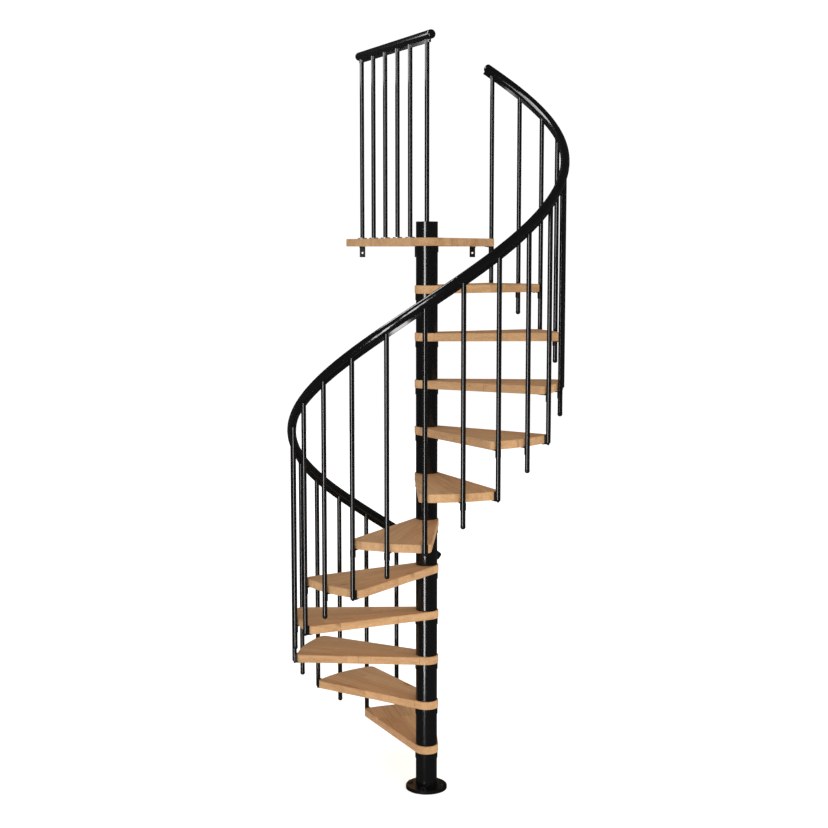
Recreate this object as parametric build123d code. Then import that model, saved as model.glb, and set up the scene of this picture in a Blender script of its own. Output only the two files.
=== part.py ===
# Spiral stair: a steel centre column of stacked spacers, eleven wooden wedge treads and a
# wooden landing platform, round balusters and a round helical handrail.
# Frame: millimetres, +Z up, origin at the centre of the base flange's underside, +Y towards
# the wall that the landing is fixed to. The stair climbs counter-clockwise seen from above.
from build123d import *
import os
from math import acos, asin, atan, atan2, cos, degrees, pi, radians, sin, sqrt

# Stair layout
rise = 220.0
tread_count = 11
step_angle = 30.0
first_tread_angle = 103.8
landing_level = rise * (tread_count + 1)

# Centre column
column_diameter = 102.0
seat_ring_diameter = 108.0
seat_ring_height = 30.0
core_diameter = 40.0
core_clearance = 0.5
flange_diameter = 198.0
flange_thickness = 17.0
flange_edge_chamfer = 3.0
flange_bolt_circle = 160.0
flange_bolt_count = 4
flange_bolt_hole = 12.0
flange_bolt_angle = -104.0
column_above_landing = 74.0
column_edge_chamfer = 1.5

# Treads
tread_thickness = 38.0
tread_outer_radius = 620.0
tread_hub_radius = 57.0
tread_corner_round = 25.0
tread_edge_chamfer = 2.5
baluster_to_corner = 27.0

# Balusters
baluster_diameter = 22.0
baluster_standoff = 13.0
baluster_drop = 153.0
end_round = 9.0
foot_chamfer = 4.0
seat_clearance = 0.2
foot_ring_diameter = 46.0
foot_ring_height = 6.0
foot_ring_chamfer = 2.0

# Handrail
rail_diameter = 42.0
rail_above_tread = 929.0
strip_width = 9.0
strip_depth = 13.0
rail_start_past_baluster = 5.6
rail_end_past_baluster = 3.4
rail_cap_length = 16.0
rail_cap_round = 12.0
strip_end_inset = 6.0
rail_sections = 6

# Landing platform
landing_back = 770.0
landing_notch = 40.8
landing_left_corner = -420.0
landing_corner_round = 20.0
landing_nosing_round = 12.0
landing_notch_round = 8.0

# Guardrail on the landing
guard_rail_above_landing = 917.0
guard_first_spacing = 185.0
guard_spacing = 146.0
guard_baluster_count = 6
guard_overhang_column = 55.0
guard_overhang_wall = 45.0

# Wall brackets of the landing
bracket_width = 29.0
bracket_drop = 55.0
bracket_reach = 60.0
bracket_thickness = 5.0
bracket_hole = 10.0
bracket_hole_drop = 33.0
bracket_spacing = 284.0
bracket_middle = -42.0
bracket_count = 3

# Baluster holders
holder_wall = 2.5
holder_below_tread = 33.0
holder_wrap = 1.0
holder_plate_reach = 32.0
holder_plate_thickness = 3.0
foot_saddle_wrap = 8.0
foot_plate_reach = 20.0
foot_plate_thickness = 4.0
foot_plate_past_baluster = 4.0
foot_plate_corner = 8.0

# How far a cutting shape runs past what it cuts
cut_margin = 1.0

# Worked-out sizes
column_radius = column_diameter / 2
rail_radius = rail_diameter / 2
baluster_radius = baluster_diameter / 2
baluster_circle = tread_outer_radius + baluster_standoff
holder_radius = baluster_radius + seat_clearance + holder_wall
helix_pitch = rise * 360.0 / step_angle
rail_slope = atan(helix_pitch / (2 * pi * baluster_circle))
rail_seat_height = rail_radius + strip_depth
cutter_length = 4 * rail_diameter
corner_angle = degrees(asin(baluster_to_corner / tread_outer_radius)) + step_angle / 2
hub_tangent_angle = degrees(acos(tread_hub_radius / tread_outer_radius))
landing_left_reach = sqrt(landing_left_corner ** 2 + landing_back ** 2)
landing_left_direction = degrees(atan2(landing_back, landing_left_corner))
guard_direction = landing_left_direction - degrees(asin(tread_hub_radius / landing_left_reach))
guard_rail_height = landing_level + guard_rail_above_landing
guard_length = guard_first_spacing + guard_spacing * (guard_baluster_count - 2)


def tread_angle(number):
    """Direction of the middle of a tread; the landing counts as the next tread."""
    return first_tread_angle + step_angle * (number - 1)


def joint_angle(number):
    """Direction of the baluster between a tread and the one above it."""
    return tread_angle(number) + step_angle / 2


def rail_centre_height(angle):
    """Height of the handrail's centre line in a direction."""
    return rise + rail_above_tread + rise * (angle - first_tread_angle) / step_angle


def polar(radius, angle):
    """Point of the plan at a radius and a direction."""
    return (radius * cos(radians(angle)), radius * sin(radians(angle)))


def standing_bar(radius, height):
    """Upright cylinder that stands on Z = 0."""
    return Cylinder(radius, height, align=(Align.CENTER, Align.CENTER, Align.MIN))


def disc(diameter, bottom, top):
    """Upright cylinder on the column's axis."""
    return Pos(0, 0, bottom) * standing_bar(diameter / 2, top - bottom)


def block(size_x, size_y, size_z, centre):
    """Box about a centre point."""
    return Pos(*centre) * Box(size_x, size_y, size_z)


def core_bore(bottom, top):
    """Space that the core rod needs."""
    return disc(core_diameter + 2 * core_clearance, bottom, top)


# Base flange with its floor bolt holes
def make_flange():
    plate = disc(flange_diameter, 0, flange_thickness)
    plate = chamfer(plate.edges().group_by(Axis.Z)[-1], flange_edge_chamfer)
    for number in range(flange_bolt_count):
        hole_x, hole_y = polar(flange_bolt_circle / 2, flange_bolt_angle + 360.0 * number / flange_bolt_count)
        hole = Cylinder(flange_bolt_hole / 2, 2 * (flange_thickness + cut_margin))
        plate -= Pos(hole_x, hole_y, 0) * hole
    return plate


# Spacer between two levels, with the wider ring that the tread above sits on
def make_spacer(bottom, top):
    ring_bottom = top - seat_ring_height
    body = disc(column_diameter, bottom, top) + disc(seat_ring_diameter, ring_bottom, top)
    return body - core_bore(bottom - cut_margin, top + cut_margin)


def make_column_top():
    top = landing_level + column_above_landing
    body = disc(column_diameter, landing_level, top)
    body = chamfer(body.edges().group_by(Axis.Z)[-1], column_edge_chamfer)
    return body - core_bore(landing_level - cut_margin, top - column_radius)


def make_core():
    return disc(core_diameter, flange_thickness, landing_level + column_above_landing - column_radius)


# Wedge outline: an outer arc and two sides tangent to the hub circle
def wedge_face():
    tangent_angle = corner_angle + hub_tangent_angle
    outer_arc = CenterArc((0, 0), tread_outer_radius, -corner_angle, 2 * corner_angle)
    hub_arc = CenterArc((0, 0), tread_hub_radius, tangent_angle, 360 - 2 * tangent_angle)
    left_side = Line(outer_arc @ 1, hub_arc @ 0)
    right_side = Line(hub_arc @ 1, outer_arc @ 0)
    face = make_face([outer_arc, left_side, hub_arc, right_side])
    corners = face.vertices().sort_by(Axis.X)[-2:]
    return fillet(corners, tread_corner_round)


def make_board(face):
    """Wooden board on Z = 0 with its long edges eased and the core rod's bore."""
    board = extrude(face, tread_thickness)
    outlines = board.edges().group_by(Axis.Z)
    board = chamfer(outlines[0] + outlines[-1], tread_edge_chamfer)
    return board - core_bore(-cut_margin, tread_thickness + cut_margin)


# Landing platform: hub at the column, nosing corner over the top tread, straight back edge
def make_landing():
    near_angle = (joint_angle(tread_count) - corner_angle + step_angle / 2) % 360
    near_tangent_angle = near_angle - hub_tangent_angle
    near_corner = polar(tread_outer_radius, near_angle)
    right = near_corner[0] - landing_notch
    right_turn = degrees(acos(right / tread_outer_radius))
    right_start = polar(tread_outer_radius, right_turn)
    left_tangent_angle = landing_left_direction + degrees(acos(tread_hub_radius / landing_left_reach))
    left_tangent = polar(tread_hub_radius, left_tangent_angle)
    hub_turn = near_tangent_angle + 360 - left_tangent_angle
    outline = [
        Line(polar(tread_hub_radius, near_tangent_angle), near_corner),
        CenterArc((0, 0), tread_outer_radius, near_angle, right_turn - near_angle),
        Polyline(right_start, (right, landing_back), (landing_left_corner, landing_back), left_tangent),
        CenterArc((0, 0), tread_hub_radius, left_tangent_angle, hub_turn),
    ]
    face = make_face(outline)
    back_corners = face.vertices().sort_by(Axis.Y)[-2:]
    face = fillet(back_corners, landing_corner_round)
    nosing = face.vertices().sort_by_distance((near_corner[0], near_corner[1], 0))[0]
    face = fillet(nosing, landing_nosing_round)
    notch = face.vertices().sort_by_distance((right_start[0], right_start[1], 0))[0]
    face = fillet(notch, landing_notch_round)
    return Pos(0, 0, landing_level - tread_thickness) * make_board(face)


# Straight stand-in for a rail and its strip, for notching a baluster's top; it runs along Y
def rail_cutter():
    tube = Cylinder(rail_radius + seat_clearance, cutter_length, rotation=(90, 0, 0))
    slot_height = rail_seat_height + seat_clearance
    slot = block(strip_width + 2 * seat_clearance, cutter_length, slot_height, (0, 0, -slot_height / 2))
    return tube + slot


def make_baluster(bottom, rail_height, slope):
    """Upright bar on the Z axis, its top notched over the strip of a rail with a slope along Y."""
    bar = Pos(0, 0, bottom) * standing_bar(baluster_radius, rail_height - bottom)
    cutter = Pos(0, 0, rail_height) * Rot(degrees(slope), 0, 0) * rail_cutter()
    return (bar - cutter).solids().sort_by(Axis.Z)[0]


def lowest_edge(solid):
    return solid.edges().group_by(Axis.Z)[0]


def at_circle(solid):
    """Copy moved out to the baluster circle."""
    return Pos(baluster_circle, 0, 0) * solid


# Ring that covers the foot of a baluster on a floor
def make_foot_ring():
    ring = standing_bar(foot_ring_diameter / 2, foot_ring_height)
    ring = chamfer(ring.edges().group_by(Axis.Z)[-1], foot_ring_chamfer)
    return ring - Cylinder(baluster_radius + seat_clearance, 2 * foot_ring_height + cut_margin)


# Holder of a passing baluster: a half sleeve that hangs from a plate under the tread
def make_holder():
    sleeve = Pos(0, 0, -holder_below_tread) * standing_bar(holder_radius, holder_below_tread)
    inner_side = block(
        holder_radius + holder_wrap + cut_margin,
        2 * (holder_radius + cut_margin),
        2 * (holder_below_tread + cut_margin),
        ((holder_wrap - holder_radius - cut_margin) / 2, 0, 0),
    )
    plate_length = baluster_standoff + holder_plate_reach
    plate = block(
        plate_length,
        2 * holder_radius,
        holder_plate_thickness,
        (-plate_length / 2, 0, -holder_plate_thickness / 2),
    )
    bore = Cylinder(baluster_radius + seat_clearance, 2 * (holder_below_tread + cut_margin))
    return (sleeve & inner_side) + plate - bore


# Foot bracket at a tread's rear corner: a saddle at the tread's edge over a plate below it
def make_foot_bracket():
    outer = baluster_circle - baluster_radius + foot_saddle_wrap
    depth = outer - tread_outer_radius
    middle = (tread_outer_radius + outer) / 2
    saddle = block(depth, 2 * holder_radius, tread_thickness, (middle, 0, tread_thickness / 2))
    saddle -= disc(2 * tread_outer_radius, -cut_margin, tread_thickness + cut_margin)
    saddle -= at_circle(Cylinder(baluster_radius + seat_clearance, 2 * (tread_thickness + cut_margin)))
    plate_inner = tread_outer_radius - foot_plate_reach
    plate_outer = baluster_circle + foot_plate_past_baluster
    plate = block(
        plate_outer - plate_inner,
        2 * holder_radius,
        foot_plate_thickness,
        ((plate_inner + plate_outer) / 2, 0, -foot_plate_thickness / 2),
    )
    plate = fillet(plate.edges().filter_by(Axis.Z).group_by(Axis.X)[-1], foot_plate_corner)
    return saddle + plate


# Helical bar of a profile drawn in the radial and upright directions, swept in equal sections
def helical_bar(profile, start_angle, end_angle, centre_shift):
    section_angle = (end_angle - start_angle) / rail_sections
    path = Helix(pitch=helix_pitch, height=helix_pitch * section_angle / 360, radius=baluster_circle)
    face = Plane(origin=path @ 0, x_dir=(1, 0, 0), z_dir=path % 0) * Pos(0, centre_shift) * profile
    section = sweep(face, path=path, is_frenet=True)
    angles = [start_angle + section_angle * number for number in range(rail_sections)]
    bar = at_angle(section, angles[0], rail_centre_height(angles[0]))
    for angle in angles[1:]:
        bar += at_angle(section, angle, rail_centre_height(angle))
    return bar


def plan_angle(length):
    """Turn of the stair that a length along the sloping handrail covers."""
    return degrees(length * cos(rail_slope) / baluster_circle)


def make_rail_cap():
    """Domed cap that stands on Z = 0."""
    cap = standing_bar(rail_radius, rail_cap_length)
    return fillet(cap.edges().group_by(Axis.Z)[-1], rail_cap_round)


def handrail_cap_place(angle, way):
    """Place of a cap on the handrail's end, facing up the stair (1) or down it (-1)."""
    centre_x, centre_y = polar(baluster_circle, angle)
    along_x, along_y = polar(way * cos(rail_slope), angle + 90)
    return Plane(
        origin=(centre_x, centre_y, rail_centre_height(angle)),
        x_dir=polar(1, angle) + (0,),
        z_dir=(along_x, along_y, way * sin(rail_slope)),
    ).location


# Guardrail along the landing's left edge
def guard_place(distance, height):
    """Location on the guardrail's line, its Y axis along the line."""
    guard_x, guard_y = polar(distance, guard_direction)
    return Pos(guard_x, guard_y, height) * Rot(0, 0, guard_direction - 90)


def guard_distance(number):
    """Distance of a guard baluster from the column's axis."""
    if number == 0:
        return 0.0
    return guard_first_spacing + guard_spacing * (number - 1)


def make_guard_rail():
    start = rail_cap_length - guard_overhang_column
    end = guard_length + guard_overhang_wall - rail_cap_length
    bar = Cylinder(rail_radius, end - start, rotation=(90, 0, 0))
    return guard_place((start + end) / 2, guard_rail_height) * bar


def make_guard_strip():
    start = rail_cap_length - guard_overhang_column + strip_end_inset
    end = guard_length + guard_overhang_wall - rail_cap_length - strip_end_inset
    bar = Box(strip_width, end - start, strip_depth)
    return guard_place((start + end) / 2, guard_rail_height - rail_radius - strip_depth / 2) * bar


def make_guard_caps():
    """Caps at the guardrail's end over the column and at its end by the wall."""
    cap = make_rail_cap()
    column_end = guard_place(rail_cap_length - guard_overhang_column, guard_rail_height)
    wall_end = guard_place(guard_length + guard_overhang_wall - rail_cap_length, guard_rail_height)
    return [column_end * Rot(90, 0, 0) * cap, wall_end * Rot(-90, 0, 0) * cap]


# Angle bracket between the landing's underside and the wall
def make_bracket(number):
    centre = bracket_middle + bracket_spacing * (number - (bracket_count - 1) / 2)
    underside = landing_level - tread_thickness
    upright = block(
        bracket_width,
        bracket_thickness,
        bracket_drop,
        (centre, landing_back - bracket_thickness / 2, underside - bracket_drop / 2),
    )
    ledge = block(
        bracket_width,
        bracket_reach,
        bracket_thickness,
        (centre, landing_back - bracket_reach / 2, underside - bracket_thickness / 2),
    )
    hole = Pos(centre, landing_back, underside - bracket_hole_drop) * Cylinder(
        bracket_hole / 2, 2 * (bracket_thickness + cut_margin), rotation=(90, 0, 0)
    )
    return upright + ledge - hole


def at_angle(solid, angle, height):
    """Copy turned to a direction and lifted to a height."""
    return Pos(0, 0, height) * Rot(0, 0, angle) * solid


def write_node(name, solids):
    """Write one node; several solids share it as a compound."""
    shape = solids[0] if len(solids) == 1 else Compound(children=solids)
    shape.label = name
    export_step(shape, "parts/" + name + ".step")


def build():
    os.makedirs("parts", exist_ok=True)
    write_node("base_flange", [make_flange()])
    write_node("core_rod", [make_core()])
    for number in range(1, tread_count + 2):
        bottom = flange_thickness if number == 1 else rise * (number - 1)
        write_node(f"column_spacer_{number:02d}", [make_spacer(bottom, rise * number - tread_thickness)])
    write_node("column_top", [make_column_top()])

    treads = range(1, tread_count + 1)
    tread_blank = make_board(wedge_face())
    for number in treads:
        height = rise * number - tread_thickness
        write_node(f"tread_{number:02d}", [at_angle(tread_blank, tread_angle(number), height)])
    write_node("landing_platform", [make_landing()])

    # Balusters at the joints between treads stand on the lower tread's foot bracket
    corner_rail = rail_centre_height(joint_angle(0))
    floor_bar = at_circle(make_baluster(0, corner_rail, rail_slope))
    corner_bar = make_baluster(-tread_thickness, corner_rail, rail_slope)
    corner_bar = at_circle(chamfer(lowest_edge(corner_bar), foot_chamfer))
    corner_bars = [at_angle(corner_bar, joint_angle(number), rise * number) for number in treads]
    write_node("joint_balusters", [at_angle(floor_bar, joint_angle(0), 0)] + corner_bars)

    # Balusters at the middle of each tread hang free below it
    middle_bar = make_baluster(-baluster_drop, rail_centre_height(first_tread_angle) - rise, rail_slope)
    middle_bar = at_circle(fillet(lowest_edge(middle_bar), end_round))
    write_node(
        "middle_balusters", [at_angle(middle_bar, tread_angle(number), rise * number) for number in treads]
    )

    # Every passing baluster has a holder under its tread or under the landing
    holder = at_circle(make_holder())
    write_node(
        "nosing_saddles",
        [
            at_angle(holder, joint_angle(number - 1), rise * number - tread_thickness)
            for number in range(1, tread_count + 2)
        ],
    )
    write_node(
        "middle_saddles",
        [at_angle(holder, tread_angle(number), rise * number - tread_thickness) for number in treads],
    )
    foot_bracket = make_foot_bracket()
    write_node(
        "foot_brackets",
        [at_angle(foot_bracket, joint_angle(number), rise * number - tread_thickness) for number in treads],
    )

    rail_start = joint_angle(0) - rail_start_past_baluster + plan_angle(rail_cap_length)
    rail_end = joint_angle(tread_count) + rail_end_past_baluster - plan_angle(rail_cap_length)
    write_node("handrail", [helical_bar(Circle(rail_radius), rail_start, rail_end, 0)])
    strip_inset = plan_angle(strip_end_inset)
    strip_shift = -(rail_radius + strip_depth / 2)
    strip_profile = Rectangle(strip_width, strip_depth)
    write_node(
        "handrail_strip",
        [helical_bar(strip_profile, rail_start + strip_inset, rail_end - strip_inset, strip_shift)],
    )
    rail_cap = make_rail_cap()
    cap_places = [handrail_cap_place(rail_start, -1), handrail_cap_place(rail_end, 1)]
    write_node("rail_end_caps", [place * rail_cap for place in cap_places] + make_guard_caps())

    # The guardrail's first baluster stands on the column's top, the others on the landing
    write_node("guard_rail", [make_guard_rail()])
    write_node("guard_strip", [make_guard_strip()])
    column_bar = make_baluster(column_above_landing, guard_rail_above_landing, 0)
    landing_bar = make_baluster(0, guard_rail_above_landing, 0)
    guard_feet = [
        guard_place(guard_distance(number), landing_level) for number in range(guard_baluster_count)
    ]
    guard_bars = [guard_feet[0] * column_bar] + [foot * landing_bar for foot in guard_feet[1:]]
    write_node("guard_balusters", guard_bars)

    foot_ring = make_foot_ring()
    floor_ring = at_angle(at_circle(foot_ring), joint_angle(0), 0)
    write_node("baluster_feet", [floor_ring] + [foot * foot_ring for foot in guard_feet[1:]])
    write_node("wall_brackets", [make_bracket(number) for number in range(bracket_count)])


build()
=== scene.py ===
from math import atan, cos, degrees, pi, radians, sin

import bpy
from mathutils import Matrix, Vector


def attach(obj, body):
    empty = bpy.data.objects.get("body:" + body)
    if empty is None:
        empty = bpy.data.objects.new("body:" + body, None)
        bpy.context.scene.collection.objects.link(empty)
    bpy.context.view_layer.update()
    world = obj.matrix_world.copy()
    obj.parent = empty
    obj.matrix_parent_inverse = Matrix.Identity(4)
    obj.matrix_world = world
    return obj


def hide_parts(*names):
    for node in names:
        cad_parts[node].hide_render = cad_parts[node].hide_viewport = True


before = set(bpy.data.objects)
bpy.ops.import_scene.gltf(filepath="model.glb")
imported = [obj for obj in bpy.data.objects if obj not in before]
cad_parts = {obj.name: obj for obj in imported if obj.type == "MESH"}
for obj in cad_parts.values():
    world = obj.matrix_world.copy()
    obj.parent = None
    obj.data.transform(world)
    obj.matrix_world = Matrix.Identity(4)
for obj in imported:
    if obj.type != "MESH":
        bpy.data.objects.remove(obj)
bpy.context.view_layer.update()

# Sizes repeated from the part, in metres and degrees
RISE = 0.220
TREAD_COUNT = 11
STEP_ANGLE = 30.0
FIRST_TREAD_ANGLE = 103.8
LANDING_LEVEL = RISE * (TREAD_COUNT + 1)
LANDING_BACK = 0.770
TREAD_THICKNESS = 0.038
TREAD_OUTER_RADIUS = 0.620
BALUSTER_CIRCLE = 0.633
BALUSTER_RADIUS = 0.011
BALUSTER_DROP = 0.153
RAIL_RADIUS = 0.021
RAIL_ABOVE_TREAD = 0.929
RAIL_START_PAST_BALUSTER = 5.6
RAIL_END_PAST_BALUSTER = 3.4
RAIL_SLOPE = atan(RISE / (BALUSTER_CIRCLE * radians(STEP_ANGLE)))
STRIP_WIDTH = 0.009
STRIP_DEPTH = 0.013
FLANGE_THICKNESS = 0.017
FLANGE_BOLT_CIRCLE = 0.160
FLANGE_BOLT_COUNT = 4
FLANGE_BOLT_ANGLE = -104.0
HOLDER_PLATE_THICKNESS = 0.003
FOOT_PLATE_REACH = 0.020
FOOT_PLATE_THICKNESS = 0.004
GUARD_DIRECTION = 114.90
GUARD_RAIL_ABOVE_LANDING = 0.917
GUARD_FIRST_SPACING = 0.185
GUARD_SPACING = 0.146
GUARD_BALUSTER_COUNT = 6
BRACKET_SPACING = 0.284
BRACKET_MIDDLE = -0.042
BRACKET_COUNT = 3
BRACKET_THICKNESS = 0.005

# Sizes of the pieces made here
BOLT_HEAD_RADIUS = 0.0104
BOLT_HEAD_HEIGHT = 0.0075
WASHER_RADIUS = 0.0120
WASHER_THICKNESS = 0.0025
SCREW_HEAD_RADIUS = 0.0042
SCREW_HEAD_HEIGHT = 0.0022
SOCKET_HEAD_RADIUS = 0.0055
SOCKET_HEAD_HEIGHT = 0.0045
SOCKET_SIZE = 0.0026
SMALL_HEAD_RADIUS = 0.0034
SMALL_HEAD_HEIGHT = 0.0016
SMALL_HEAD_SEAT = BALUSTER_RADIUS * 0.985
FOOT_SCREW_OFFSET = 0.007
HOLDER_SCREW_INSETS = (0.007, 0.023)
BRACKET_SCREW_INSETS = (0.026, 0.047)
CAP_CLEARANCE = 0.0005
CAP_LENGTH = 0.016
CAP_ROUND = 0.0095
CAP_FLAT_SHARE = 0.3
CAP_LIP_HEIGHT = 0.0006
CAP_LIP_WIDTH = 0.0004
STRIP_EDGE = 0.0008
STRIP_END_INSET = 0.008

# Fineness of the added meshes
ROUND_SIDES = 32
SOCKET_SIDES = 24
CAP_ROUND_STEPS = 6
STRIP_STEPS = 240
SHARP_ANGLE = 32.0

# Turns that point a fitting down, to the column and to its right
DOWNWARD = Matrix.Rotation(pi, 4, "X")
INWARD = Matrix.Rotation(-pi / 2, 4, "Y")
RIGHTWARD = Matrix.Rotation(pi / 2, 4, "X")


def tread_angle(number):
    """Direction of the middle of a tread; the landing counts as the next tread."""
    return FIRST_TREAD_ANGLE + STEP_ANGLE * (number - 1)


def joint_angle(number):
    """Direction of the baluster between a tread and the one above it."""
    return tread_angle(number) + STEP_ANGLE / 2


def rail_height(angle):
    """Height of the handrail's centre line in a direction."""
    return RISE + RAIL_ABOVE_TREAD + RISE * (angle - FIRST_TREAD_ANGLE) / STEP_ANGLE


def facing(angle, radius, height, side=0.0):
    """Place on the stair: X points away from the column in a direction, Z points up."""
    return Matrix.Rotation(radians(angle), 4, "Z") @ Matrix.Translation((radius, side, height))


# Paints and metals
COAT_ROUGHNESS = 0.05
COAT_BUMP_DEPTH = 0.0005


def grey(value):
    """Neutral colour of one brightness."""
    return (value, value, value, 1.0)


def surface(name, settings):
    """Material with some of the shader's inputs set."""
    material = bpy.data.materials.new(name)
    material.use_nodes = True
    shader = material.node_tree.nodes["Principled BSDF"]
    for socket_name, value in settings.items():
        shader.inputs[socket_name].default_value = value
    return material


def plain_material(name, colour, roughness, specular=0.5, metallic=0.0, coat=0.0):
    """Even finish: a paint or plastic, or steel where it is metallic."""
    settings = {
        "Base Color": colour,
        "Roughness": roughness,
        "Specular IOR Level": specular,
        "Metallic": metallic,
        "Coat Weight": coat,
        "Coat Roughness": COAT_ROUGHNESS,
    }
    return surface(name, settings)


def add_bump(material, height, strength, depth, invert=False):
    """Let a height value bend the material's normal."""
    nodes = material.node_tree.nodes
    links = material.node_tree.links
    bump = nodes.new("ShaderNodeBump")
    bump.invert = invert
    bump.inputs["Strength"].default_value = strength
    bump.inputs["Distance"].default_value = depth
    links.new(height, bump.inputs["Height"])
    links.new(bump.outputs["Normal"], nodes["Principled BSDF"].inputs["Normal"])


def add_coat_texture(material, scale, strength):
    """Very fine orange peel, as a sprayed coat has."""
    nodes = material.node_tree.nodes
    place = nodes.new("ShaderNodeTexCoord")
    noise = nodes.new("ShaderNodeTexNoise")
    noise.inputs["Scale"].default_value = scale
    noise.inputs["Detail"].default_value = 1.0
    material.node_tree.links.new(place.outputs["Object"], noise.inputs["Vector"])
    add_bump(material, noise.outputs["Fac"], strength, COAT_BUMP_DEPTH)


column_black = plain_material("column_black", grey(0.0045), 0.16, coat=0.08)
flange_black = plain_material("flange_black", grey(0.0045), 0.32, specular=0.18)
baluster_black = plain_material("baluster_black", grey(0.0045), 0.12)
rail_black = plain_material("rail_black", grey(0.0040), 0.14)
fitting_black = plain_material("fitting_black", grey(0.0060), 0.45, specular=0.20)
screw_black = plain_material("screw_black", grey(0.012), 0.38, metallic=0.6)
satin_steel = plain_material("satin_steel", (0.42, 0.39, 0.34, 1.0), 0.38, metallic=0.85)
add_coat_texture(column_black, scale=900.0, strength=0.05)
add_coat_texture(fitting_black, scale=1400.0, strength=0.12)

# Oak: boards, colours, and the scales of its patterns along, across and up
STAVE_WIDTH = 0.062
STAVE_LENGTH = 0.47
JOINT_WIDTH = 0.0007
OAK_LIGHT = (0.650, 0.400, 0.205, 1.0)
OAK_MIDDLE = (0.575, 0.335, 0.160, 1.0)
OAK_DARK = (0.420, 0.225, 0.097, 1.0)
PORE_COLOUR = (0.220, 0.105, 0.040, 1.0)
BROAD_GRAIN_SCALE = (2.2, 42.0, 42.0)
FINE_GRAIN_SCALE = (7.0, 330.0, 330.0)
PORE_SCALE = (34.0, 1500.0, 1500.0)
KNOT_SCALE = (6.0, 11.0, 11.0)
BROAD_GRAIN_COLOURS = [(0.34, OAK_DARK), (0.50, OAK_MIDDLE), (0.68, OAK_LIGHT)]
FINE_GRAIN_COLOURS = [(0.30, (0.80, 0.78, 0.75, 1.0)), (0.62, grey(1.06))]
BOARD_COLOURS = [(0.0, (0.90, 0.88, 0.86, 1.0)), (1.0, (1.08, 1.09, 1.10, 1.0))]
GRAIN_EVENNESS = 0.55
FINE_GRAIN_STRENGTH = 0.75
PORE_STRENGTH = 0.55
KNOT_STRENGTH = 0.6
GLUE_LINE_STRENGTH = 0.45
PORE_BUMP_STRENGTH = 0.25
PORE_BUMP_DEPTH = 0.0004

# Steps that keep the patterns of two pieces, staves or boards apart
PIECE_STEP_ALONG = 0.13
PIECE_STEP_ACROSS = 0.031
PIECE_ROWS = 3
PIECE_STEP_IN_SHIFTS = 17.0
PIECE_STEP_IN_TONES = 3.7
BOARD_STEP_IN_TONES = 7.31
BOARD_STEP_IN_GRAIN = 9.0


def math_node(tree, operation, first, second=None):
    """Math node fed by sockets or numbers."""
    node = tree.nodes.new("ShaderNodeMath")
    node.operation = operation
    for socket, value in zip(node.inputs, (first, second)):
        if value is None:
            continue
        if isinstance(value, (int, float)):
            socket.default_value = value
        else:
            tree.links.new(value, socket)
    return node.outputs[0]


def random_number(tree, key):
    """Random number from 0 to 1 that belongs to a key."""
    node = tree.nodes.new("ShaderNodeTexWhiteNoise")
    node.noise_dimensions = "1D"
    tree.links.new(key, node.inputs["W"])
    return node.outputs["Value"]


def scaled_noise(tree, vector, scale, detail, distortion=0.0):
    """Noise whose three directions are stretched by different scales."""
    mapping = tree.nodes.new("ShaderNodeMapping")
    mapping.inputs["Scale"].default_value = scale
    noise = tree.nodes.new("ShaderNodeTexNoise")
    noise.inputs["Scale"].default_value = 1.0
    noise.inputs["Detail"].default_value = detail
    noise.inputs["Distortion"].default_value = distortion
    tree.links.new(vector, mapping.inputs["Vector"])
    tree.links.new(mapping.outputs["Vector"], noise.inputs["Vector"])
    return noise.outputs["Fac"]


def ramp(tree, factor, stops):
    """Colour that runs through the stops, each a position and a colour."""
    node = tree.nodes.new("ShaderNodeValToRGB")
    elements = node.color_ramp.elements
    while len(elements) < len(stops):
        elements.new(0.5)
    for element, (position, colour) in zip(elements, stops):
        element.position = position
        element.color = colour
    tree.links.new(factor, node.inputs["Fac"])
    return node.outputs["Color"]


def mask(tree, factor, low, high):
    """Black below the low value and white above the high one."""
    return ramp(tree, factor, [(low, grey(0.0)), (high, grey(1.0))])


def mix_colour(tree, mode, factor, first, second):
    """Two colours mixed or multiplied by a factor."""
    node = tree.nodes.new("ShaderNodeMix")
    node.data_type = "RGBA"
    node.blend_type = mode
    for socket, value in ((node.inputs[0], factor), (node.inputs[6], first), (node.inputs[7], second)):
        if isinstance(value, (int, float, tuple)):
            socket.default_value = value
        else:
            tree.links.new(value, socket)
    return node.outputs[2]


def grain_directions(tree, angle, seed):
    """Distances along the grain, across it and up, moved on for each piece."""
    place = tree.nodes.new("ShaderNodeTexCoord")
    turn = tree.nodes.new("ShaderNodeMapping")
    piece_shift = (PIECE_STEP_ALONG * seed, PIECE_STEP_ACROSS * (seed % PIECE_ROWS), 0.0)
    turn.inputs["Rotation"].default_value = (0.0, 0.0, -radians(angle))
    turn.inputs["Location"].default_value = piece_shift
    split = tree.nodes.new("ShaderNodeSeparateXYZ")
    tree.links.new(place.outputs["Object"], turn.inputs["Vector"])
    tree.links.new(turn.outputs["Vector"], split.inputs["Vector"])
    return split.outputs


def board_layout(tree, along, across, seed):
    """Distances counted in boards and in staves, and a random number for each board."""
    in_staves = math_node(tree, "DIVIDE", across, STAVE_WIDTH)
    stave = math_node(tree, "FLOOR", in_staves)
    shift = random_number(tree, math_node(tree, "ADD", stave, PIECE_STEP_IN_SHIFTS * seed))
    in_boards = math_node(tree, "ADD", math_node(tree, "DIVIDE", along, STAVE_LENGTH), shift)
    board = math_node(tree, "FLOOR", in_boards)
    board_key = math_node(tree, "ADD", math_node(tree, "MULTIPLY", board, BOARD_STEP_IN_TONES), stave)
    tone = random_number(tree, math_node(tree, "ADD", board_key, PIECE_STEP_IN_TONES * seed))
    return in_boards, in_staves, tone


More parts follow.
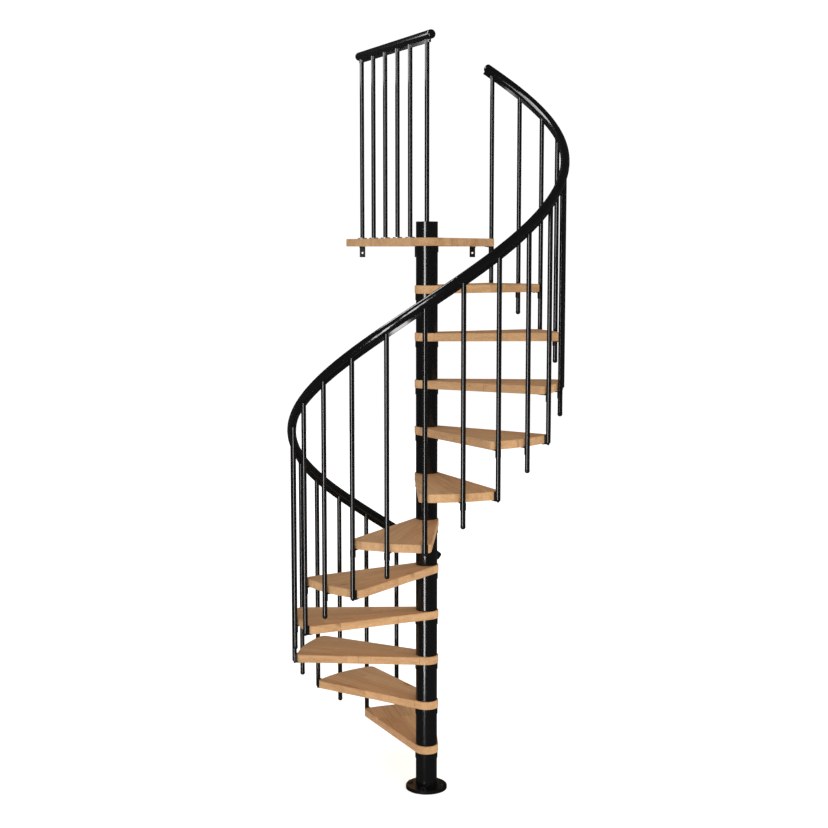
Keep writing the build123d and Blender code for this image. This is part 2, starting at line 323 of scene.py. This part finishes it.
def board_grain_place(tree, along, across, up, tone):
    """Coordinates that give each board its own piece of the grain."""
    join = tree.nodes.new("ShaderNodeCombineXYZ")
    offset = math_node(tree, "MULTIPLY", tone, BOARD_STEP_IN_GRAIN)
    tree.links.new(math_node(tree, "ADD", along, offset), join.inputs["X"])
    tree.links.new(math_node(tree, "ADD", across, offset), join.inputs["Y"])
    tree.links.new(up, join.inputs["Z"])
    return join.outputs["Vector"]


def grain_colour(tree, grain_place, tone):
    """Broad and fine grain in the tone of the board."""
    broad = scaled_noise(tree, grain_place, BROAD_GRAIN_SCALE, detail=3.0, distortion=0.9)
    fine = scaled_noise(tree, grain_place, FINE_GRAIN_SCALE, detail=4.0, distortion=0.3)
    grain = ramp(tree, broad, BROAD_GRAIN_COLOURS)
    even = mix_colour(tree, "MIX", GRAIN_EVENNESS, grain, OAK_MIDDLE)
    fine_tone = ramp(tree, fine, FINE_GRAIN_COLOURS)
    streaked = mix_colour(tree, "MULTIPLY", FINE_GRAIN_STRENGTH, even, fine_tone)
    return mix_colour(tree, "MULTIPLY", 1.0, streaked, ramp(tree, tone, BOARD_COLOURS))


def pores_at(tree, grain_place):
    """How much of a pore shows at a place."""
    noise = scaled_noise(tree, grain_place, PORE_SCALE, detail=1.0)
    return math_node(tree, "MULTIPLY", mask(tree, noise, low=0.60, high=0.70), PORE_STRENGTH)


def knots_at(tree, grain_place):
    """How much of a knot shows at a place."""
    noise = scaled_noise(tree, grain_place, KNOT_SCALE, detail=0.0)
    return math_node(tree, "MULTIPLY", mask(tree, noise, low=0.79, high=0.84), KNOT_STRENGTH)


def board_edge(tree, boards, board_size):
    """1 on the glue line between two boards and 0 elsewhere."""
    distance = math_node(tree, "PINGPONG", boards, 0.5)
    return math_node(tree, "LESS_THAN", distance, JOINT_WIDTH / board_size / 2)


def glue_lines_at(tree, in_boards, in_staves):
    """How much of a glue line shows at a place."""
    sides = board_edge(tree, in_staves, STAVE_WIDTH)
    ends = board_edge(tree, in_boards, STAVE_LENGTH)
    return math_node(tree, "MULTIPLY", math_node(tree, "MAXIMUM", sides, ends), GLUE_LINE_STRENGTH)


def oak_material(name, angle, seed):
    """Oak in glued staves, the grain running in a direction of the plan."""
    material = surface(name, {"Roughness": 0.62, "Specular IOR Level": 0.20})
    tree = material.node_tree
    along, across, up = grain_directions(tree, angle, seed)
    in_boards, in_staves, tone = board_layout(tree, along, across, seed)
    grain_place = board_grain_place(tree, along, across, up, tone)
    pores = pores_at(tree, grain_place)
    colour = grain_colour(tree, grain_place, tone)
    for darker in (pores, knots_at(tree, grain_place), glue_lines_at(tree, in_boards, in_staves)):
        colour = mix_colour(tree, "MIX", darker, colour, PORE_COLOUR)
    tree.links.new(colour, tree.nodes["Principled BSDF"].inputs["Base Color"])
    add_bump(material, pores, PORE_BUMP_STRENGTH, PORE_BUMP_DEPTH, invert=True)
    return material


def dress(node, material):
    """Give a CAD node its finished material."""
    node_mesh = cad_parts[node].data
    node_mesh.materials.clear()
    node_mesh.materials.append(material)


# Finishes of the solids
dress("base_flange", flange_black)
for node_name in ("core_rod", "column_top"):
    dress(node_name, column_black)
for spacer_number in range(1, TREAD_COUNT + 2):
    dress(f"column_spacer_{spacer_number:02d}", column_black)
for node_name in ("joint_balusters", "middle_balusters", "guard_balusters"):
    dress(node_name, baluster_black)
for node_name in ("handrail", "guard_rail", "guard_strip", "rail_end_caps"):
    dress(node_name, rail_black)
for node_name in ("nosing_saddles", "middle_saddles", "foot_brackets", "wall_brackets"):
    dress(node_name, fitting_black)
dress("baluster_feet", satin_steel)
for tread_number in range(1, TREAD_COUNT + 1):
    oak = oak_material(f"oak_{tread_number:02d}", tread_angle(tread_number), tread_number)
    dress(f"tread_{tread_number:02d}", oak)
dress("landing_platform", oak_material("oak_landing", 0.0, TREAD_COUNT + 2))


# Small turned and hexagonal shapes, as lists of corners and faces
def ring_faces(low, high, sides):
    """Faces between two rings of corners, given by the first corner of each."""
    faces = []
    for side in range(sides):
        following = (side + 1) % sides
        faces.append((low + side, low + following, high + following, high + side))
    return faces


def turned(profile, sides=ROUND_SIDES):
    """Solid of revolution about Z; the profile runs from the bottom to the top."""
    corners = []
    faces = []
    for radius, height in profile:
        for side in range(sides):
            angle = 2 * pi * side / sides
            corners.append((radius * cos(angle), radius * sin(angle), height))
    for row in range(len(profile) - 1):
        faces.extend(ring_faces(row * sides, (row + 1) * sides, sides))
    faces.append(tuple(reversed(range(sides))))
    faces.append(tuple(range(len(corners) - sides, len(corners))))
    return corners, faces


def domed_head(radius, height):
    """Pan head standing on Z = 0."""
    side_top = (radius, height * 0.45)
    shoulder = (radius * 0.86, height * 0.82)
    crown = (radius * 0.5, height)
    return turned([(radius, 0.0), side_top, shoulder, crown])


def hexagon_head(radius, height):
    """Hexagonal bolt head with chamfered corners."""
    side_top = (radius, height * 0.85)
    crown = (radius * 0.86, height)
    return turned([(radius, 0.0), side_top, crown], sides=6)


def washer(radius, thickness):
    """Disc with an eased upper edge; a real one's hole is hidden by the bolt's head."""
    return turned([(radius, 0.0), (radius, thickness * 0.8), (radius * 0.94, thickness)])


def socket_head(radius, height, socket):
    """Cap screw head with a hexagonal recess in its top."""
    side_top = (radius, height * 0.9)
    crown = (radius * 0.93, height)
    recess_floor = height * 0.45
    corners, faces = turned([(radius, 0.0), side_top, crown], SOCKET_SIDES)
    faces.pop()
    rim = len(corners) - SOCKET_SIDES
    recess_top = len(corners)
    recess_bottom = recess_top + SOCKET_SIDES
    for level in (height, recess_floor):
        for side in range(SOCKET_SIDES):
            angle = 2 * pi * side / SOCKET_SIDES
            reach = socket / cos(angle % (pi / 3) - pi / 6)
            corners.append((reach * cos(angle), reach * sin(angle), level))
    faces.extend(ring_faces(rim, recess_top, SOCKET_SIDES))
    faces.extend(ring_faces(recess_top, recess_bottom, SOCKET_SIDES))
    faces.append(tuple(range(recess_bottom, recess_bottom + SOCKET_SIDES)))
    return corners, faces


def end_cap():
    """Cup round the lower end of a baluster that hangs from Z = 0."""
    radius = BALUSTER_RADIUS + CAP_CLEARANCE
    bottom = -BALUSTER_DROP - CAP_CLEARANCE
    top = bottom + CAP_LENGTH
    profile = [(radius * CAP_FLAT_SHARE, bottom)]
    for step in range(CAP_ROUND_STEPS + 1):
        turn = pi / 2 * step / CAP_ROUND_STEPS
        reach = radius - CAP_ROUND * (1 - sin(turn))
        profile.append((reach, bottom + CAP_ROUND * (1 - cos(turn))))
    profile.append((radius, top - CAP_LIP_HEIGHT))
    profile.append((radius - CAP_LIP_WIDTH, top))
    return turned(profile)


# Objects that belong to the stair
def add_piece(name, corners, faces, material, slot_name, smooth=True):
    """One object of corners and faces."""
    mesh = bpy.data.meshes.new(name)
    mesh.from_pydata([tuple(corner) for corner in corners], [], faces)
    mesh.update()
    piece = bpy.data.objects.new(name, mesh)
    bpy.context.scene.collection.objects.link(piece)
    mesh.materials.append(material)
    if smooth:
        for polygon in mesh.polygons:
            polygon.use_smooth = True
        mesh.set_sharp_from_angle(angle=radians(SHARP_ANGLE))
    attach(piece, "root")
    return piece


def scatter(name, shape, places, material=screw_black, smooth=True):
    """One object made of copies of a small shape."""
    corners, faces = shape
    all_corners = []
    all_faces = []
    for place in places:
        start = len(all_corners)
        all_corners.extend(place @ Vector(corner) for corner in corners)
        all_faces.extend(tuple(start + index for index in face) for face in faces)
    return add_piece(name, all_corners, all_faces, material, "fitting_black", smooth)


def wood_screws(name, places):
    """Heads of wood screws, one at each place."""
    return scatter(name, domed_head(SCREW_HEAD_RADIUS, SCREW_HEAD_HEIGHT), places)


# Flat strip under the handrail, in the notches of the balusters
def strip_section():
    """Outline of the strip beside and below the rail's centre line, its lower edges eased."""
    half = STRIP_WIDTH / 2
    top = -RAIL_RADIUS + STRIP_EDGE
    bottom = -RAIL_RADIUS - STRIP_DEPTH
    return [
        (-half, top),
        (-half, bottom + STRIP_EDGE),
        (-half + STRIP_EDGE, bottom),
        (half - STRIP_EDGE, bottom),
        (half, bottom + STRIP_EDGE),
        (half, top),
    ]


def handrail_strip():
    """Corners and faces of the strip, swept up the stair with its section square to the rail."""
    inset = degrees(STRIP_END_INSET * cos(RAIL_SLOPE) / BALUSTER_CIRCLE)
    start = joint_angle(0) - RAIL_START_PAST_BALUSTER + inset
    end = joint_angle(TREAD_COUNT) + RAIL_END_PAST_BALUSTER - inset
    tilt = Matrix.Rotation(RAIL_SLOPE, 4, "X")
    section = strip_section()
    count = len(section)
    corners = []
    faces = []
    for step in range(STRIP_STEPS + 1):
        angle = start + (end - start) * step / STRIP_STEPS
        place = facing(angle, BALUSTER_CIRCLE, rail_height(angle)) @ tilt
        corners.extend(place @ Vector((side, 0.0, up)) for side, up in section)
    for step in range(STRIP_STEPS):
        faces.extend(ring_faces(step * count, (step + 1) * count, count))
    faces.append(tuple(reversed(range(count))))
    faces.append(tuple(range(len(corners) - count, len(corners))))
    return corners, faces


strip = add_piece("handrail_under_strip", *handrail_strip(), rail_black, "rail_black")
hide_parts("handrail_strip")

# Floor bolts of the base flange
bolt_places = []
for number in range(FLANGE_BOLT_COUNT):
    angle = FLANGE_BOLT_ANGLE + 360.0 * number / FLANGE_BOLT_COUNT
    bolt_places.append(facing(angle, FLANGE_BOLT_CIRCLE / 2, FLANGE_THICKNESS))
head_places = [place @ Matrix.Translation((0, 0, WASHER_THICKNESS)) for place in bolt_places]
scatter("flange_washers", washer(WASHER_RADIUS, WASHER_THICKNESS), bolt_places)
scatter("flange_bolt_heads", hexagon_head(BOLT_HEAD_RADIUS, BOLT_HEAD_HEIGHT), head_places, smooth=False)

# Wood screws under every foot plate, and the bolt up into the baluster
foot_screw_places = []
foot_bolt_places = []
for number in range(1, TREAD_COUNT + 1):
    angle = joint_angle(number)
    radius = TREAD_OUTER_RADIUS - FOOT_PLATE_REACH / 2
    height = RISE * number - TREAD_THICKNESS - FOOT_PLATE_THICKNESS
    for side in (-FOOT_SCREW_OFFSET, FOOT_SCREW_OFFSET):
        foot_screw_places.append(facing(angle, radius, height, side) @ DOWNWARD)
    foot_bolt_places.append(facing(angle, BALUSTER_CIRCLE, height) @ DOWNWARD)
wood_screws("foot_plate_screws", foot_screw_places)
foot_bolt = socket_head(SOCKET_HEAD_RADIUS, SOCKET_HEAD_HEIGHT, SOCKET_SIZE)
scatter("foot_plate_bolts", foot_bolt, foot_bolt_places)

# Two wood screws in the plate of every baluster holder
holder_screw_places = []
for number in range(1, TREAD_COUNT + 2):
    height = RISE * number - TREAD_THICKNESS - HOLDER_PLATE_THICKNESS
    for inset in HOLDER_SCREW_INSETS:
        radius = TREAD_OUTER_RADIUS - inset
        holder_screw_places.append(facing(joint_angle(number - 1), radius, height) @ DOWNWARD)
        if number <= TREAD_COUNT:
            holder_screw_places.append(facing(tread_angle(number), radius, height) @ DOWNWARD)
wood_screws("holder_screws", holder_screw_places)

# Small screw through every baluster's top into the strip below the rail
screw_below_rail = RAIL_RADIUS + STRIP_DEPTH / 2
top_screw_places = []
for number in range(2 * TREAD_COUNT + 1):
    angle = joint_angle(0) + number * STEP_ANGLE / 2
    height = rail_height(angle) - screw_below_rail
    top_screw_places.append(facing(angle, BALUSTER_CIRCLE - SMALL_HEAD_SEAT, height) @ INWARD)
guard_distances = [0.0]
for number in range(GUARD_BALUSTER_COUNT - 1):
    guard_distances.append(GUARD_FIRST_SPACING + GUARD_SPACING * number)
guard_height = LANDING_LEVEL + GUARD_RAIL_ABOVE_LANDING - screw_below_rail
for distance in guard_distances:
    top_screw_places.append(facing(GUARD_DIRECTION, distance, guard_height, -SMALL_HEAD_SEAT) @ RIGHTWARD)
scatter("baluster_top_screws", domed_head(SMALL_HEAD_RADIUS, SMALL_HEAD_HEIGHT), top_screw_places)

# Plastic caps on the free lower ends of the middle balusters
cap_places = [
    facing(tread_angle(number), BALUSTER_CIRCLE, RISE * number) for number in range(1, TREAD_COUNT + 1)
]
scatter("baluster_end_caps", end_cap(), cap_places, fitting_black)

# Wood screws up into the landing through the wall brackets
bracket_underside = LANDING_LEVEL - TREAD_THICKNESS - BRACKET_THICKNESS
bracket_screw_places = []
for number in range(BRACKET_COUNT):
    centre = BRACKET_MIDDLE + BRACKET_SPACING * (number - (BRACKET_COUNT - 1) / 2)
    for inset in BRACKET_SCREW_INSETS:
        place = Matrix.Translation((centre, LANDING_BACK - inset, bracket_underside))
        bracket_screw_places.append(place @ DOWNWARD)
wood_screws("bracket_screws", bracket_screw_places)

# Studio: the floor, the world, one soft light, and panels that only reflections see
FLOOR_RADIUS = 14.0
FLOOR_SIDES = 64
FLOOR_GAP = 0.0006
FLOOR_BRIGHTNESS = 0.54
SOFT_FILL = 0.80
WORLD_IN_REFLECTIONS = 0.05
WORLD_TO_CAMERA = 1.05
SOFT_LIGHT_PLACE = (2.6, -7.6, 2.7)
SOFT_LIGHT_TARGET = (0.0, 0.0, 1.4)
SOFT_LIGHT_SIZE = 4.0
SOFT_LIGHT_POWER = 170.0
NARROW_PANEL_PLAN = ((-2.36, -4.41), (-1.31, -4.83))
NARROW_PANEL_FOOT = -1.0
NARROW_PANEL_TOP = 4.9
NARROW_PANEL_BRIGHTNESS = 15.5
SIDE_PANEL_PLAN = ((-1.71, -0.06), (-1.40, 1.10))
SIDE_PANEL_BOTTOM = 3.55
SIDE_PANEL_TOP = 5.6
SIDE_PANEL_BRIGHTNESS = 9.5


def stage_object(name, corners, material):
    """Flat studio object with one face, which isn't part of the stair."""
    mesh = bpy.data.meshes.new(name)
    mesh.from_pydata(corners, [], [tuple(range(len(corners)))])
    mesh.materials.append(material)
    stage_piece = bpy.data.objects.new(name, mesh)
    bpy.context.scene.collection.objects.link(stage_piece)
    return stage_piece


def glowing(name, colour, roughness, brightness):
    """Material without a shine that gives white light of its own."""
    settings = {
        "Base Color": colour,
        "Roughness": roughness,
        "Specular IOR Level": 0.0,
        "Emission Color": grey(1.0),
        "Emission Strength": brightness,
    }
    return surface(name, settings)


def pale_floor():
    """Round floor just under the stair, left out of reflections."""
    corners = []
    for side in range(FLOOR_SIDES):
        angle = 2 * pi * side / FLOOR_SIDES
        corners.append((FLOOR_RADIUS * cos(angle), FLOOR_RADIUS * sin(angle), -FLOOR_GAP))
    material = glowing("pale_floor", grey(0.90), roughness=0.9, brightness=FLOOR_BRIGHTNESS)
    floor = stage_object("floor", corners, material)
    floor.visible_glossy = False


def light_panel(name, plan, bottom, top, brightness):
    """Upright panel between two points of the plan, seen only in reflections."""
    material = glowing(name, grey(0.0), roughness=0.5, brightness=brightness)
    # Sampled as a lamp, a panel below the floor would be in the floor's shade
    if bottom < 0:
        material.cycles.emission_sampling = "NONE"
    first, second = plan
    corners = [(*first, bottom), (*second, bottom), (*second, top), (*first, top)]
    panel = stage_object(name, corners, material)
    panel.visible_camera = False
    panel.visible_diffuse = False
    panel.visible_transmission = False
    panel.visible_shadow = False


def soft_light(name, place, target, size, power):
    """Square lamp that isn't seen in reflections."""
    data = bpy.data.lights.new(name, "AREA")
    data.size = size
    data.energy = power
    light = bpy.data.objects.new(name, data)
    light.location = place
    light.rotation_mode = "QUATERNION"
    light.rotation_quaternion = (Vector(target) - Vector(place)).to_track_quat("-Z", "Y")
    light.visible_glossy = False
    light.visible_camera = False
    bpy.context.scene.collection.objects.link(light)


pale_floor()
soft_light("front_softbox", SOFT_LIGHT_PLACE, SOFT_LIGHT_TARGET, SOFT_LIGHT_SIZE, SOFT_LIGHT_POWER)
light_panel("narrow_panel", NARROW_PANEL_PLAN, 0.0, NARROW_PANEL_TOP, NARROW_PANEL_BRIGHTNESS)
light_panel("narrow_panel_foot", NARROW_PANEL_PLAN, NARROW_PANEL_FOOT, 0.0, NARROW_PANEL_BRIGHTNESS)
light_panel("side_panel", SIDE_PANEL_PLAN, SIDE_PANEL_BOTTOM, SIDE_PANEL_TOP, SIDE_PANEL_BRIGHTNESS)

# World: white to the camera, dim in reflections, soft light for everything else
world = bpy.data.worlds.new("studio")
bpy.context.scene.world = world
world.use_nodes = True
world_tree = world.node_tree
world_tree.nodes.clear()
world_out = world_tree.nodes.new("ShaderNodeOutputWorld")
light_path = world_tree.nodes.new("ShaderNodeLightPath")


def background(strength):
    """White background of a strength."""
    node = world_tree.nodes.new("ShaderNodeBackground")
    node.inputs["Color"].default_value = grey(1.0)
    node.inputs["Strength"].default_value = strength
    return node.outputs["Background"]


def world_mix(factor, first, second):
    """The second background for some rays, the first for the others."""
    node = world_tree.nodes.new("ShaderNodeMixShader")
    for socket, value in zip(node.inputs, (factor, first, second)):
        world_tree.links.new(value, socket)
    return node.outputs["Shader"]


soft_fill = background(SOFT_FILL)
in_reflections = background(WORLD_IN_REFLECTIONS)
to_camera = background(WORLD_TO_CAMERA)
reflected = world_mix(light_path.outputs["Is Glossy Ray"], soft_fill, in_reflections)
shown = world_mix(light_path.outputs["Is Camera Ray"], reflected, to_camera)
world_tree.links.new(shown, world_out.inputs["Surface"])

# Camera at the photograph's place
CAMERA_PLACE = (-0.0598, -6.71, 2.5735)
CAMERA_TILT = 83.57
CAMERA_LENS = 62.478
CAMERA_SENSOR = 36.0
camera_data = bpy.data.cameras.new("camera")
camera_data.lens = CAMERA_LENS
camera_data.sensor_width = CAMERA_SENSOR
camera = bpy.data.objects.new("camera", camera_data)
camera.location = CAMERA_PLACE
camera.rotation_euler = (radians(CAMERA_TILT), 0.0, 0.0)
bpy.context.scene.collection.objects.link(camera)
bpy.context.scene.camera = camera
bpy.context.scene.view_settings.view_transform = "Standard"
